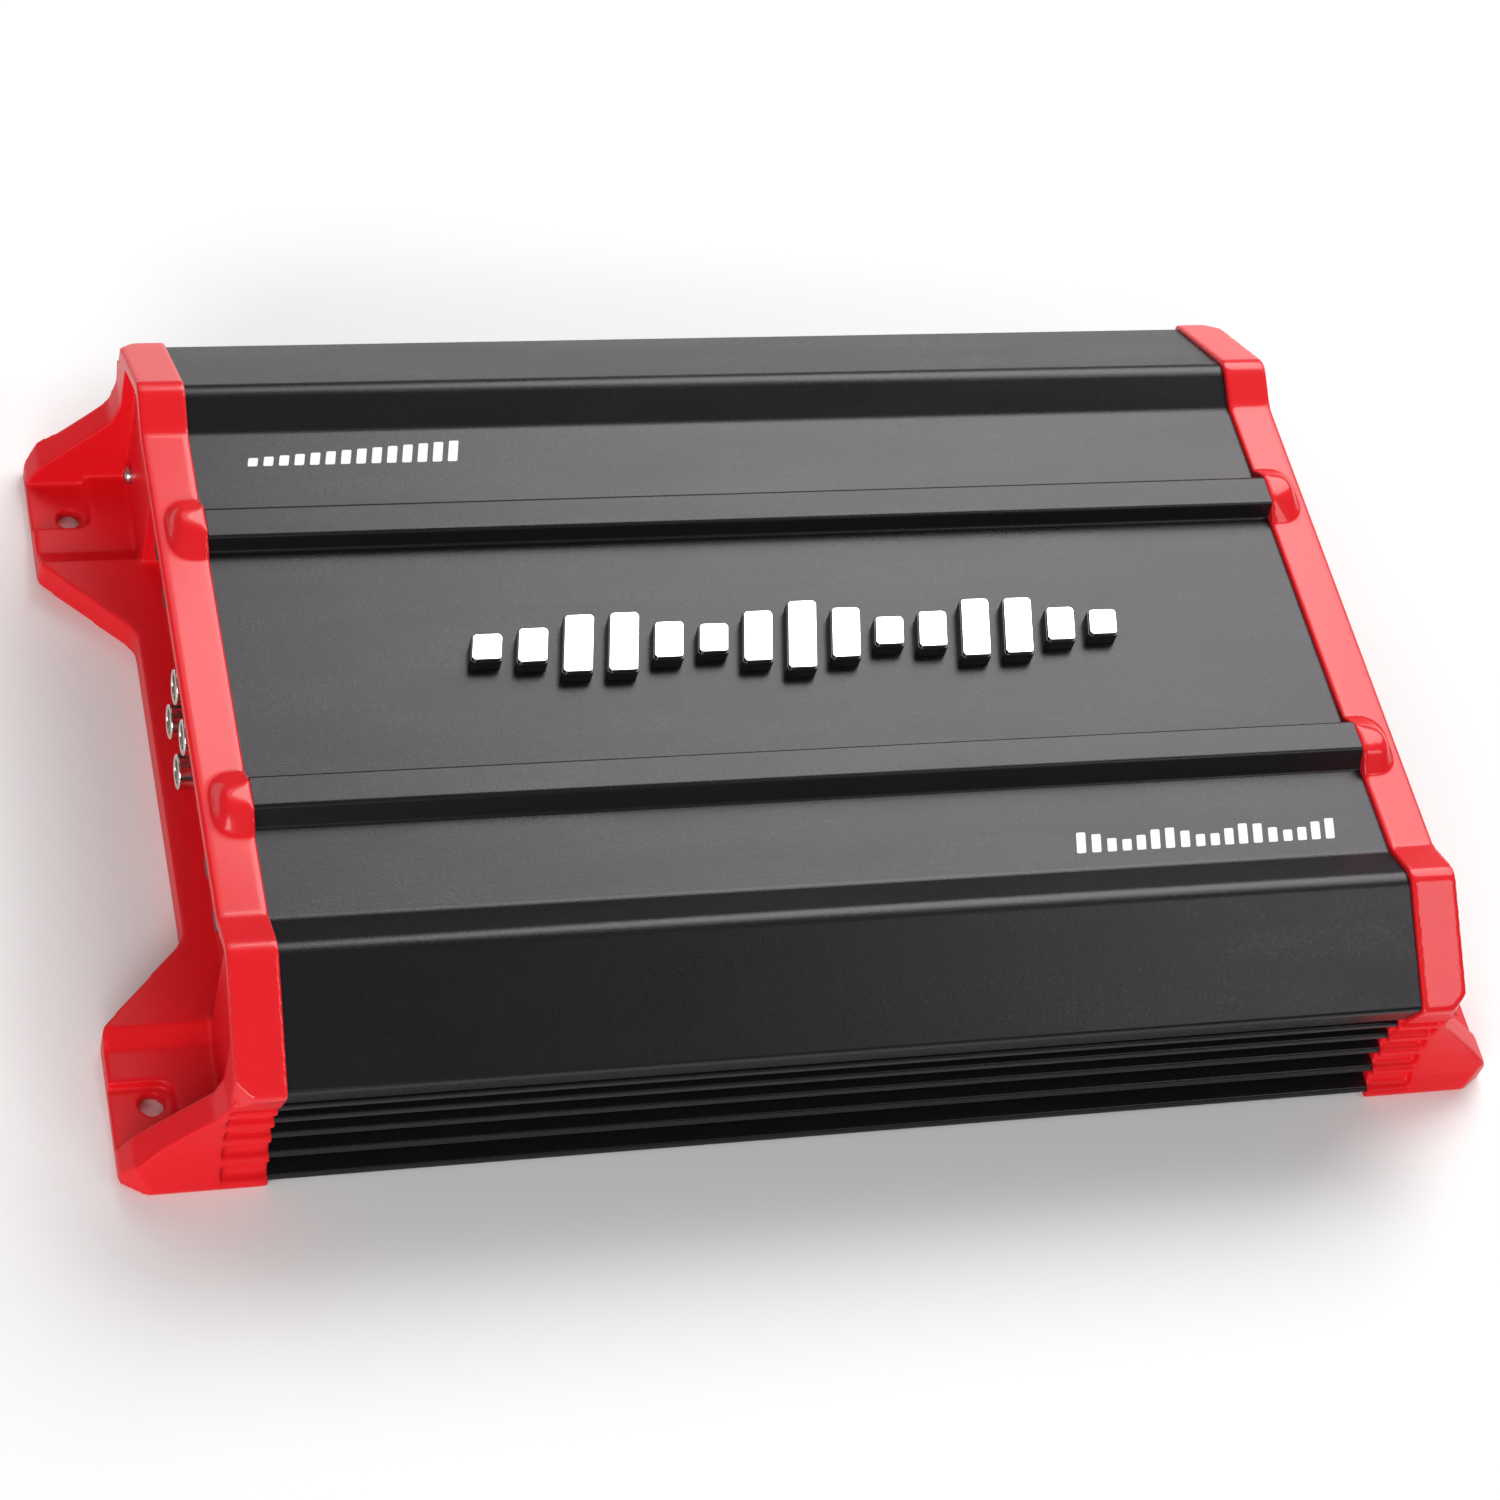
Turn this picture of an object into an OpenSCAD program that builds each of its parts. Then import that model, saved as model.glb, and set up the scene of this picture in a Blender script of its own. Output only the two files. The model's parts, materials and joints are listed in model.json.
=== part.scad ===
// Four-channel car amplifier: an extruded heatsink with a moulded end cap at each end,
// controls and inputs on the left end, power, fuses and speakers on the right end.
// X runs along the extrusion, Y across it, Z up. The origin is on the mounting plane.

/* [Heatsink] */
// Length of the extrusion between the end caps
heatsink_length = 260; // [240:1:320]
// Height of the flat top face above the mounting plane
flat_z = 50.2; // [48:0.1:54]
// Distance of the shoulder ridge from the centre line
ridge_y = 77.3; // [75:0.1:80]
// Height of the shoulder ridge
ridge_z = 54.95; // [53:0.05:58]
// Half width at the brow, where the outer slope ends
brow_y = 103.9; // [102:0.1:108]
// Height of the brow
brow_z = 39.7; // [38:0.1:41]
// Distance between two side fins
fin_pitch = 6; // [5.8:0.05:6.2]
// Depth of the grooves between the side fins
fin_depth = 4.2; // [3:0.1:4.6]
// Half width at the waist of the side wall
waist_y = 98.8; // [98:0.1:100]
// Height of the waist
waist_z = 18; // [16:1:20]

/* [End caps] */
// How far the cap strip stands beyond the end of the extrusion
strip_length = 11; // [10:0.5:12]
// How far the cap strip stands proud of the extrusion
strip_proud = 1.2; // [0.6:0.1:1.6]
// Outer edge of the feet, from the end of the extrusion
foot_reach = 31.5; // [30:0.5:34]
// Thickness of the floor flange
floor_top = 8; // [7.5:0.1:8.5]
// Height of the lower step of the foot
step_top = 5.4; // [5:0.1:6]
// Thickness of the mounting pad under the screw head
pad_top = 3; // [2.5:0.1:3.5]
// Mounting holes: distance from the end of the extrusion
hole_reach = 22.5; // [22:0.5:24]
// Mounting holes: distance from the centre line
hole_y = 82; // [81:0.5:84]
// Mounting holes: diameter
hole_d = 5.5; // [4.5:0.1:6.4]

/* [Inputs and controls] */
// Diameter of the outer ring of a phono jack
phono_d = 8.3; // [8:0.1:8.5]
// Distance between phono jacks across the panel
phono_pitch_y = 14; // [13:0.5:15]
// Distance between the two rows of phono jacks
phono_pitch_z = 13; // [12.5:0.5:13.5]
// Diameter of a control knob
knob_d = 8.6; // [8:0.1:9]
// Travel of a slide switch either way from the middle
switch_travel = 2.2; // [1:0.1:2.4]

/* [Power and outputs] */
// Distance between power terminals
power_pitch = 14; // [13:0.5:14]
// Distance between speaker terminals
speaker_pitch = 6.6; // [6:0.1:6.6]
// Thickness of a blade fuse
fuse_t = 5.2; // [5:0.1:5.4]
// Width of a blade fuse
fuse_w = 19.1; // [18:0.1:19.5]

/* [Hidden] */
$fn = 40;
arc_steps = 4;
end_x = heatsink_length / 2;
strip_x = end_x + strip_length;
foot_x = end_x + foot_reach;
bottom_z = 1.5;
bottom_y = 103;
fin_count = 5;
fin_t = 2;
fin_top_z = 26.4;
brow_lip = 9.4;
top_wall = 4.6;
side_wall_y = 91.5;
ledge_z = 3.3;
cap_wall = 2.6;
cap_groove = 2.3;
cap_proud = 1.3;
cap_skin = 3.2;
side_recess = 3.4;
web_y = 93;
rim_t = 2.2;
riser_y = [65, 69.5];
pad_y = 77.6;
bump_y = 38;
bump_w = 16;
bump_reach = 8.3;
cap_screw_y = 88;
cap_screw_z = [43.6, 11.6];
cap_screw_r = 1.5;
window_left = [60, 16.8, 43];
window_right = [63, 11, 43.5];
panel_x = end_x - 0.2;
panel_t = 1.5;
panel_y = 79;
control_x = end_x - 15;
control_t = 1.6;
board_z = 17;
board_t = 1.6;
board_low_x = end_x - 19;
board_high_x = end_x - 11.5;
board_y = 90;
phono_y = -1;
phono_z = 29;
knobs = [["front_gain_knob", 51, 30], ["front_crossover_knob", 37, 30], ["bass_boost_knob", 23, 36],
         ["rear_crossover_knob", -38, 30], ["rear_gain_knob", -52, 30]];
switches = [["front_crossover_switch", 23], ["rear_crossover_switch", -24]];
switch_z = 22;
light_y = [-20, -28];
light_z = 36;
power_y = 40.5;
power_z = 27;
speaker_y = -33;
speaker_z = 26;
speaker_count = 8;
fuse_y = [2, 12];
fuse_z = 26.5;
fuse_x = end_x - 2.6;
fuse_l = 12.3;
transistor_x = [-98, -84, -56, -42, -14, 0, 14, 42, 56, 84, 98];
clamp_screw_x = [-108, -70, -28, 28, 70, 108];
clamp_z = 32;
standoff_x = [-100, 0, 100];
standoff_y = 60;
plate_screw_y = side_wall_y - 2;
toroid_x = 52;
toroid_y = 14;

// ---- outlines -------------------------------------------------------------

function unit(v) = v / norm(v);
function flat(p) = [p[0], p[1]];

// The corner at b between a and c, rounded with radius r
function corner(a, b, c, r) =
    r <= 0 ? [b] :
    let (u = unit(a - b), v = unit(c - b), half = acos(u * v) / 2,
         middle = b + unit(u + v) * (r / sin(half)),
         from = b + u * (r / tan(half)) - middle,
         to = b + v * (r / tan(half)) - middle,
         start = atan2(from[1], from[0]),
         turn = atan2(to[1], to[0]) - start,
         sweep = turn > 180 ? turn - 360 : turn < -180 ? turn + 360 : turn)
    [for (i = [0 : arc_steps]) middle + r * [cos(start + sweep * i / arc_steps),
                                             sin(start + sweep * i / arc_steps)]];

// A closed outline of [x, y, radius] corners
function rounded(path) =
    let (n = len(path))
    [for (i = [0 : n - 1])
        each corner(flat(path[(i + n - 1) % n]), flat(path[i]), flat(path[(i + 1) % n]), path[i][2])];

// A half outline on the +Y side, and the same mirrored on the -Y side
function both_sides(half) =
    concat(half, [for (i = [len(half) - 1 : -1 : 0]) [-half[i][0], half[i][1], half[i][2]]]);

// Half width of the waisted side wall at height z
function side_y(z) =
    z > waist_z ? waist_y + (brow_y - waist_y) * pow((z - waist_z) / (brow_z - waist_z), 2)
                : waist_y + (bottom_y - waist_y) * pow((waist_z - z) / (waist_z - bottom_z), 2);

// Shoulder, outer slope and brow, moved outwards by g
function shoulder(g) = [[67.2 - 0.3 * g, flat_z + g, 4], [ridge_y, ridge_z + 1.15 * g, 5],
                        [brow_y + g, brow_z + 0.3 * g, 1.2]];

// Grooves of the side wall moved outwards by g, from the brow down
function grooves(depth, r, g) =
    [for (i = [0 : fin_count - 1])
        let (fin = fin_top_z - i * fin_pitch, low = fin + fin_t / 2,
             high = i == 0 ? brow_z - brow_lip : fin + fin_pitch - fin_t / 2)
        each [[side_y(high) + g, high, r], [side_y(high) + g - depth, high - 0.4, r],
              [side_y(low) + g - depth, low + 0.4, r], [side_y(low) + g, low, r]]];

rib = [[32.3, flat_z, 0.8], [33, flat_z + 4.6, 0.9], [41.3, flat_z + 4.8, 1.3], [43.9, flat_z, 1]];
foot_of_wall = [[bottom_y, bottom_z, 0.8], [side_wall_y - 4, bottom_z, 0], [side_wall_y - 4, ledge_z, 0]];
cavity = [[side_wall_y, ledge_z, 0], [side_wall_y, 38, 2], [78, flat_z - top_wall, 2]];

// Sweeps an outline drawn in Y and Z along X, from a to b
module along_x(a, b) {
    translate([a, 0, 0]) rotate([90, 0, 90]) linear_extrude(b - a) children();
}

module rod_x(a, b, y, z, r) {
    translate([a, y, z]) rotate([0, 90, 0]) cylinder(h = b - a, r = r);
}

module rod_y(x, a, b, z, r) {
    translate([x, a, z]) rotate([-90, 0, 0]) cylinder(h = b - a, r = r);
}

module block(low, high) {
    translate(low) cube(high - low);
}

// Both ends of the width: children are drawn on the +Y side
module both_y() {
    children();
    mirror([0, 1, 0]) children();
}

// The +X end is drawn; the left end is its mirror image
module left_end() {
    mirror([1, 0, 0]) children();
}

// ---- shell ----------------------------------------------------------------

module heatsink() {
    color([0.12, 0.12, 0.13]) difference() {
        along_x(-end_x, end_x) difference() {
            polygon(rounded(both_sides(concat(rib, shoulder(0), grooves(fin_depth, 0.7, 0), foot_of_wall))));
            difference() {
                polygon(rounded(both_sides(cavity)));
                for (s = [-1, 1]) translate([s * cap_screw_y, cap_screw_z[1]]) circle(3.8);
            }
            for (s = [-1, 1], z = cap_screw_z) translate([s * cap_screw_y, z]) circle(1.6);
        }
        both_y() for (x = clamp_screw_x) rod_y(x, side_wall_y - 1, side_wall_y + 3.8, clamp_z, 1.55);
        both_y() for (x = standoff_x) translate([x, plate_screw_y, 0]) cylinder(h = ledge_z + 1, r = 1.45);
    }
}

// Plan of the floor flange with its two feet, drawn as Y and X
function floor_plan() = [for (p = rounded(both_sides([
    [43, strip_x, 8], [riser_y[0] - 0.3, foot_x, 3], [99.2, foot_x, 1.5],
    [bottom_y + 1.2, foot_x - 7.5, 3], [bottom_y + 1.2, end_x, 0]]))) [p[1], p[0]]];

// Outline of the cap seen along X: proud strip above, ridges with grooves of a given depth below
function cap_outline(depth) = rounded(both_sides(concat(
    shoulder(strip_proud), grooves(depth, 0.9, cap_proud),
    [[bottom_y + 1, 2.4, 1], [bottom_y - 0.2, 0, 0]])));

// Recess behind the strip, as deep as the skin allows
function recess_outline() = rounded(both_sides([
    [66.4, flat_z + strip_proud - cap_skin, 3], [ridge_y, ridge_z + strip_proud - cap_skin, 2],
    [web_y, ridge_z + 0.9 - cap_skin - (web_y - ridge_y) * 0.573, 2], [web_y, floor_top, 1.5]]));

// Side outline of the web between strip and foot, in X and Z
function web_outline() = rounded([
    [end_x, 0, 0], [foot_x, 0, 0], [foot_x, 3.8, 1.5], [foot_x - 2.6, 8.6, 3],
    [strip_x + 1.8, 25, 5], [strip_x - 0.4, 32, 0], [end_x, 32, 0]]);

module web() {
    translate([0, bottom_y + 2, 0]) rotate([90, 0, 0])
        linear_extrude(bottom_y + 2 - web_y) polygon(web_outline());
}

// Smooth rim of the web, where the ridges run out
module web_rim() {
    intersection() {
        along_x(strip_x - 0.5, foot_x) polygon(cap_outline(0));
        difference() {
            web();
            translate([-rim_t, -1, -rim_t]) scale([1, 1.2, 1]) web();
        }
    }
}

// Floor and webs, inside the outline of the ridges but for the rim
module cap_base() {
    intersection() {
        linear_extrude(flat_z) polygon(floor_plan());
        union() {
            intersection() {
                along_x(end_x, foot_x) polygon(cap_outline(cap_groove));
                union() {
                    block([end_x, -web_y, 0], [foot_x, web_y, floor_top]);
                    both_y() web();
                }
            }
            both_y() web_rim();
        }
    }
}

// Domed cover over the end of a rib: footprint, crest against the rib, and dome
module rib_cover() {
    low = flat_z - 1;
    inner = bump_y - bump_w / 2;
    outer = bump_y + bump_w / 2;
    crest = flat_z + 5.2;
    hull() {
        translate([0, 0, low]) linear_extrude(strip_proud + 1.5)
            polygon(rounded([[end_x, inner, 0], [end_x + bump_reach, inner, 5],
                             [end_x + bump_reach, outer, 5], [end_x, outer, 0]]));
        along_x(end_x, end_x + 0.6)
            polygon(rounded([[inner, low, 0], [outer, low, 0], [outer - 3.5, crest, 3],
                             [inner + 4, crest, 3]]));
        translate([end_x + 4.6, bump_y + 0.6, flat_z + 1]) scale([3.6, 6, 4.6]) sphere(r = 1, $fn = 32);
    }
}

// Steps of the foot down to the mounting pad
module foot_steps() {
    along_x(strip_x - side_recess, foot_x + 1)
        polygon([[riser_y[0], floor_top + 0.1], [riser_y[0], floor_top], [riser_y[1], step_top],
                 [web_y, step_top], [web_y, floor_top + 0.1]]);
    translate([0, 0, pad_top]) linear_extrude(4)
        polygon(rounded([[end_x + 17.7, pad_y, 3.5], [foot_x + 1, pad_y, 0],
                         [foot_x + 1, web_y, 0], [end_x + 17.7, web_y, 0]]));
}

module cap_shape(window) {
    difference() {
        union() {
            along_x(end_x, strip_x) polygon(cap_outline(cap_groove));
            cap_base();
            both_y() rib_cover();
        }
        along_x(strip_x - side_recess, strip_x + 1) polygon(recess_outline());
        block([end_x + cap_wall, -64, floor_top], [strip_x, 64, flat_z + strip_proud - cap_skin]);
        block([end_x - 1, -window[0], window[1]], [end_x + cap_wall + 1, window[0], window[2]]);
        both_y() foot_steps();
        both_y() translate([0, 0, brow_z - 4]) linear_extrude(20)
            polygon([[strip_x - 4.9, brow_y + 2.4], [strip_x + 1, brow_y - 3.2],
                     [strip_x + 1, brow_y + 2.4]]);
        both_y() translate([end_x + hole_reach, hole_y, -1]) cylinder(h = 12, d = hole_d);
        both_y() for (z = cap_screw_z) rod_x(end_x - 1, strip_x, cap_screw_y, z, 1.8);
        both_y() for (i = [0 : 3])
            block([end_x + 2, 3 + i * 15, -1], [strip_x - 3, 15 + i * 15, 3.4]);
        both_y() block([end_x + 3, 64, -1], [end_x + 16, 90, 3]);
    }
}

module left_end_cap() {
    color([0.93, 0.11, 0.14]) left_end() cap_shape(window_left);
}

module right_end_cap() {
    color([0.93, 0.11, 0.14]) cap_shape(window_right);
}

module panel_shape() {
    along_x(panel_x - panel_t, panel_x)
        polygon(rounded([[-panel_y, ledge_z + 0.2, 2], [panel_y, ledge_z + 0.2, 2],
                         [panel_y, flat_z - top_wall - 0.4, 4], [-panel_y, flat_z - top_wall - 0.4, 4]]));
}

module input_panel() {
    color([0.1, 0.1, 0.1]) left_end() difference() {
        panel_shape();
        for (y = [-1, 1], z = [-1, 1])
            rod_x(panel_x - 5, panel_x + 1, phono_y + y * phono_pitch_y / 2,
                  phono_z + z * phono_pitch_z / 2, 5);
        for (k = knobs) rod_x(panel_x - 5, panel_x + 1, k[1], k[2], 3.5);
        for (s = switches)
            block([panel_x - 5, s[1] - switch_travel - 2.2, switch_z - 1.9],
                  [panel_x + 1, s[1] + switch_travel + 2.2, switch_z + 1.9]);
        for (y = light_y) rod_x(panel_x - 5, panel_x + 1, y, light_z, 1.6);
    }
}

module output_panel() {
    color([0.1, 0.1, 0.1]) difference() {
        panel_shape();
        block([panel_x - 5, power_y - power_pitch * 1.5 - 0.9, power_z - 13.3],
              [panel_x + 1, power_y + power_pitch * 1.5 + 0.9, power_z + 13.3]);
        block([panel_x - 5, speaker_y - speaker_pitch * 4 - 0.9, speaker_z - 9.3],
              [panel_x + 1, speaker_y + speaker_pitch * 4 + 0.9, speaker_z + 9.3]);
        block([panel_x - 5, fuse_y[0] - 5.3, fuse_z - 12.8], [panel_x + 1, fuse_y[1] + 5.3, fuse_z + 12.8]);
    }
}

module bottom_plate() {
    color([0.2, 0.2, 0.21]) difference() {
        union() {
            block([-end_x + 0.2, -side_wall_y + 4.2, bottom_z + 0.3],
                  [end_x - 0.2, side_wall_y - 4.2, ledge_z]);
            block([-end_x + 2.5, -side_wall_y + 0.2, ledge_z],
                  [end_x - 2.5, side_wall_y - 0.2, ledge_z + 1.2]);
        }
        both_y() for (x = standoff_x) {
            translate([x, standoff_y, 0]) cylinder(h = 9, r = 1.6);
            translate([x, plate_screw_y, 0]) cylinder(h = 9, r = 1.35);
        }
    }
}

// ---- electronics ----------------------------------------------------------

module main_board() {
    color([0.1, 0.35, 0.18]) difference() {
        block([-board_low_x, -board_y, board_z], [board_high_x, board_y, board_z + board_t]);
        both_y() for (x = standoff_x) translate([x, standoff_y, 0]) cylinder(h = 40, r = 1.7);
        both_y() for (x = transistor_x, i = [-1, 0, 1])
            block([x + i * 2.54 - 0.7, side_wall_y - 3.4, 0], [x + i * 2.54 + 0.7, side_wall_y - 2, 40]);
    }
}

module control_board() {
    color([0.1, 0.35, 0.18]) left_end()
        block([control_x - control_t, -63, 18], [control_x, 63, 43]);
}

module ring(outer, inner, height, r) {
    rotate_extrude($fn = 64)
        polygon(rounded([[inner, 0, r], [outer, 0, r], [outer, height, r], [inner, height, r]]));
}

module transformer_core() {
    color([0.2, 0.2, 0.2]) translate([toroid_x, toroid_y, board_z + board_t + 3]) ring(19, 12, 15, 1);
}

// Turns of heavy enamelled wire, drawn as staples round the core
module transformer_winding() {
    turns = 26;
    color([0.72, 0.38, 0.16]) translate([toroid_x, toroid_y, board_z + board_t])
        for (i = [0 : turns - 1]) rotate([0, 0, i * 360 / turns]) difference() {
            block([9.2, -0.9, 0], [22, 0.9, 21.2]);
            block([11.7, -2, 2.6], [19.3, 2, 18.6]);
        }
}

module choke_core() {
    color([0.85, 0.82, 0.2]) translate([toroid_x + 36, toroid_y - 26, board_z + board_t + 2.2])
        ring(11, 6, 9, 0.8);
}

module choke_winding() {
    turns = 14;
    color([0.72, 0.38, 0.16]) translate([toroid_x + 36, toroid_y - 26, board_z + board_t])
        for (i = [0 : turns - 1]) rotate([0, 0, i * 360 / turns]) difference() {
            block([4.2, -0.7, 0], [13, 0.7, 13.4]);
            block([5.7, -2, 1.9], [11.3, 2, 11.5]);
        }
}

module can(x, y, r, h) {
    translate([x, y, board_z + board_t]) difference() {
        rotate_extrude() polygon(rounded([[0, 0, 0], [r, 0, 0.8], [r, h, 0.8], [0, h, 0]]));
        for (a = [0, 90]) rotate([0, 0, a + 45]) block([-r * 0.6, -0.2, h - 0.3], [r * 0.6, 0.2, h + 1]);
    }
}

module filter_capacitors() {
    color([0.12, 0.12, 0.3]) {
        for (i = [0 : 3]) can(-6 + i * -17, 30, 7.5, 25);
        for (i = [0 : 3]) can(-6 + i * -17, -30, 7.5, 25);
        for (i = [0, 1]) can(88, 30 + i * 18, 8, 25);
    }
}

module signal_capacitors() {
    color([0.1, 0.1, 0.1]) for (i = [0 : 5], s = [-1, 1]) can(-96 + i * 12, s * 8, 2.5, 11);
}

module power_transistors() {
    color([0.15, 0.15, 0.15]) both_y() for (x = transistor_x) {
        block([x - 5, side_wall_y - 4.9, board_z + 5.6], [x + 5, side_wall_y - 0.5, board_z + 14.6]);
        block([x - 5, side_wall_y - 1.7, board_z + 14.6], [x + 5, side_wall_y - 0.5, board_z + 19]);
        for (i = [-1, 0, 1])
            block([x + i * 2.54 - 0.4, side_wall_y - 3, board_z - 1.4],
                  [x + i * 2.54 + 0.4, side_wall_y - 2.5, board_z + 5.6]);
    }
}

module insulator_pads() {
    color([0.75, 0.75, 0.78]) both_y() for (x = transistor_x)
        block([x - 6, side_wall_y - 0.5, board_z + 4.2], [x + 6, side_wall_y, board_z + 19.3]);
}

module clamp_bar() {
    difference() {
        block([-114, side_wall_y - 8.9, board_z + 8], [114, side_wall_y - 4.9, board_z + 18.2]);
        for (x = clamp_screw_x) rod_y(x, side_wall_y - 12, side_wall_y, clamp_z, 1.8);
    }
}

module far_clamp_bar() {
    color([0.6, 0.6, 0.62]) clamp_bar();
}

module near_clamp_bar() {
    color([0.6, 0.6, 0.62]) mirror([0, 1, 0]) clamp_bar();
}

// ---- fasteners ------------------------------------------------------------

// A pan head on the XY plane with its shank going down and a cross recess
module screw(head_r, head_h, shank_r, shank_l) {
    difference() {
        union() {
            rotate_extrude() polygon(rounded([[0, 0, 0], [head_r, 0, 0], [head_r, head_h, head_h * 0.6],
                                              [0, head_h, 0]]));
            translate([0, 0, -shank_l]) cylinder(h = shank_l + 0.1, r = shank_r);
        }
        for (a = [0, 90]) rotate([0, 0, a])
            block([-head_r * 0.55, -head_r * 0.12, head_h * 0.45],
                  [head_r * 0.55, head_r * 0.12, head_h + 1]);
    }
}

module clamp_screws() {
    color([0.7, 0.7, 0.72]) both_y() for (x = clamp_screw_x)
        translate([x, side_wall_y - 8.9, clamp_z]) rotate([90, 0, 0]) screw(2.9, 2.2, 1.5, 12);
}

module cap_screws() {
    both_y() for (z = cap_screw_z)
        translate([strip_x - side_recess, cap_screw_y, z]) rotate([0, 90, 0])
            screw(2.2, 1.6, cap_screw_r, 22);
}

module left_cap_screws() {
    color([0.7, 0.7, 0.72]) left_end() cap_screws();
}

module right_cap_screws() {
    color([0.7, 0.7, 0.72]) cap_screws();
}

module bottom_screws() {
    color([0.15, 0.15, 0.15]) both_y() for (x = standoff_x) {
        translate([x, standoff_y, bottom_z + 0.3]) mirror([0, 0, 1]) screw(2.6, 1.1, 1.3, 7);
        translate([x, plate_screw_y, bottom_z]) mirror([0, 0, 1]) screw(2.4, 1.1, 1.3, 4);
    }
}

module board_standoffs() {
    color([0.75, 0.65, 0.35]) both_y() for (x = standoff_x) translate([x, standoff_y, ledge_z + 1.2])
        difference() {
            cylinder(h = board_z - ledge_z - 1.2, r = 3.2, $fn = 6);
            cylinder(h = 30, r = 1.4);
        }
}

module board_screws() {
    color([0.7, 0.7, 0.72]) both_y() for (x = standoff_x) translate([x, standoff_y, board_z + board_t])
        screw(2.8, 1.9, 1.3, 5);
}

// ---- inputs and controls --------------------------------------------------

module each_phono() {
    for (y = [-1, 1], z = [-1, 1])
        translate([-panel_x, phono_y + y * phono_pitch_y / 2, phono_z + z * phono_pitch_z / 2])
            rotate([0, -90, 0]) children();
}

module phono_housing() {
    color([0.08, 0.08, 0.08]) difference() {
        union() {
            left_end() block([control_x, phono_y - 15, phono_z - 12.4],
                             [panel_x - panel_t - 0.1, phono_y + 15, phono_z + 12.4]);
            each_phono() translate([0, 0, -panel_t - 0.2]) cylinder(h = panel_t + 1.4, r = 4.7);
        }
        each_phono() translate([0, 0, -9]) cylinder(h = 20, r = 3.7);
    }
}

module phono_shells() {
    lip = phono_d / 2;
    tip = 9.9;
    color([0.82, 0.82, 0.8]) each_phono() rotate_extrude()
        polygon(rounded([[2.9, -8, 0], [3.6, -8, 0], [3.6, 1.4, 0], [lip - 0.45, 1.4, 0.2],
                         [lip - 0.45, 3.6, 0.4], [lip, 4.4, 0.4], [lip, tip, 0.4], [2.9, tip, 0.3]]));
}

module phono_insulators() {
    color([0.9, 0.9, 0.88]) each_phono() difference() {
        translate([0, 0, -8]) cylinder(h = 16.4, r = 2.85);
        translate([0, 0, -9]) cylinder(h = 30, r = 1.85);
    }
}

module phono_contacts() {
    color([0.82, 0.82, 0.8]) each_phono() difference() {
        translate([0, 0, -8]) cylinder(h = 15.8, r = 1.8);
        translate([0, 0, -5]) cylinder(h = 30, r = 1.55);
    }
}

module potentiometers() {
    color([0.2, 0.22, 0.5]) left_end() for (k = knobs) difference() {
        block([control_x, k[1] - 5, k[2] - 5], [panel_x - panel_t - 0.1, k[1] + 5, k[2] + 5]);
        rod_x(control_x + 3, panel_x, k[1], k[2], 3.1);
    }
}

// A fluted knob with a pointer slot, on a shaft that runs back into its potentiometer
module knob(i) {
    flutes = 18;
    color([0.08, 0.08, 0.08]) left_end() translate([0, knobs[i][1], knobs[i][2]]) difference() {
        union() {
            rod_x(control_x + 3.3, panel_x + 1, 0, 0, 3);
            translate([panel_x + 0.4, 0, 0]) rotate([0, 90, 0]) rotate_extrude()
                polygon(rounded([[0, 0, 0], [knob_d / 2, 0, 0.3], [knob_d / 2 - 0.4, 7.2, 0.8],
                                 [0, 7.2, 0]]));
        }
        for (a = [0 : flutes - 1]) rotate([a * 360 / flutes, 0, 0])
            rod_x(panel_x + 1.6, panel_x + 9, 0, knob_d / 2 + 0.12, 0.5);
        block([panel_x + 7, -0.45, 0.4], [panel_x + 9, 0.45, knob_d]);
    }
}

module switch_bodies() {
    color([0.7, 0.7, 0.72]) left_end() for (s = switches) difference() {
        block([control_x, s[1] - 6, switch_z - 3], [panel_x - panel_t - 0.1, s[1] + 6, switch_z + 3]);
        block([control_x + 5, s[1] - switch_travel - 2, switch_z - 1.7],
              [panel_x, s[1] + switch_travel + 2, switch_z + 1.7]);
    }
}

module switch_slider(i) {
    color([0.08, 0.08, 0.08]) left_end() translate([0, switches[i][1], switch_z]) difference() {
        block([control_x + 5.3, -1.8, -1.5], [panel_x + 4.4, 1.8, 1.5]);
        for (y = [-1, 0, 1]) block([panel_x + 3.9, y - 0.2, -2], [panel_x + 5, y + 0.2, 2]);
    }
}

module status_lights() {
    color([0.3, 0.8, 0.4]) left_end() for (y = light_y) translate([control_x, y, light_z]) rotate([0, 90, 0])
        rotate_extrude() polygon(rounded([[0, 0, 0], [1.5, 0, 0], [1.5, 16.4, 1.4], [0, 16.4, 0]]));
}

// ---- power and outputs ----------------------------------------------------

// A barrier strip: a base with a rib on each side of every terminal
module barrier_strip(middle_y, middle_z, pitch, count, height, base_x, rib_x, rib_t, bore_r) {
    half = pitch * count / 2;
    difference() {
        union() {
            block([end_x - 11, middle_y - half - rib_t / 2 + 0.2, middle_z - height / 2],
                  [base_x, middle_y + half + rib_t / 2 - 0.2, middle_z + height / 2]);
            for (i = [0 : count])
                block([base_x - 0.1, middle_y - half + i * pitch - rib_t / 2 + 0.2 * ((i == 0 ? 1 : 0)),
                       middle_z - height / 2],
                      [rib_x, middle_y - half + i * pitch + rib_t / 2 - 0.2 * ((i == count ? 1 : 0)),
                       middle_z + height / 2]);
        }
        for (i = [0 : count - 1])
            rod_x(end_x - 8, base_x + 1, middle_y - half + (i + 0.5) * pitch,
                  middle_z + height * 0.14, bore_r);
    }
}

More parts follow.
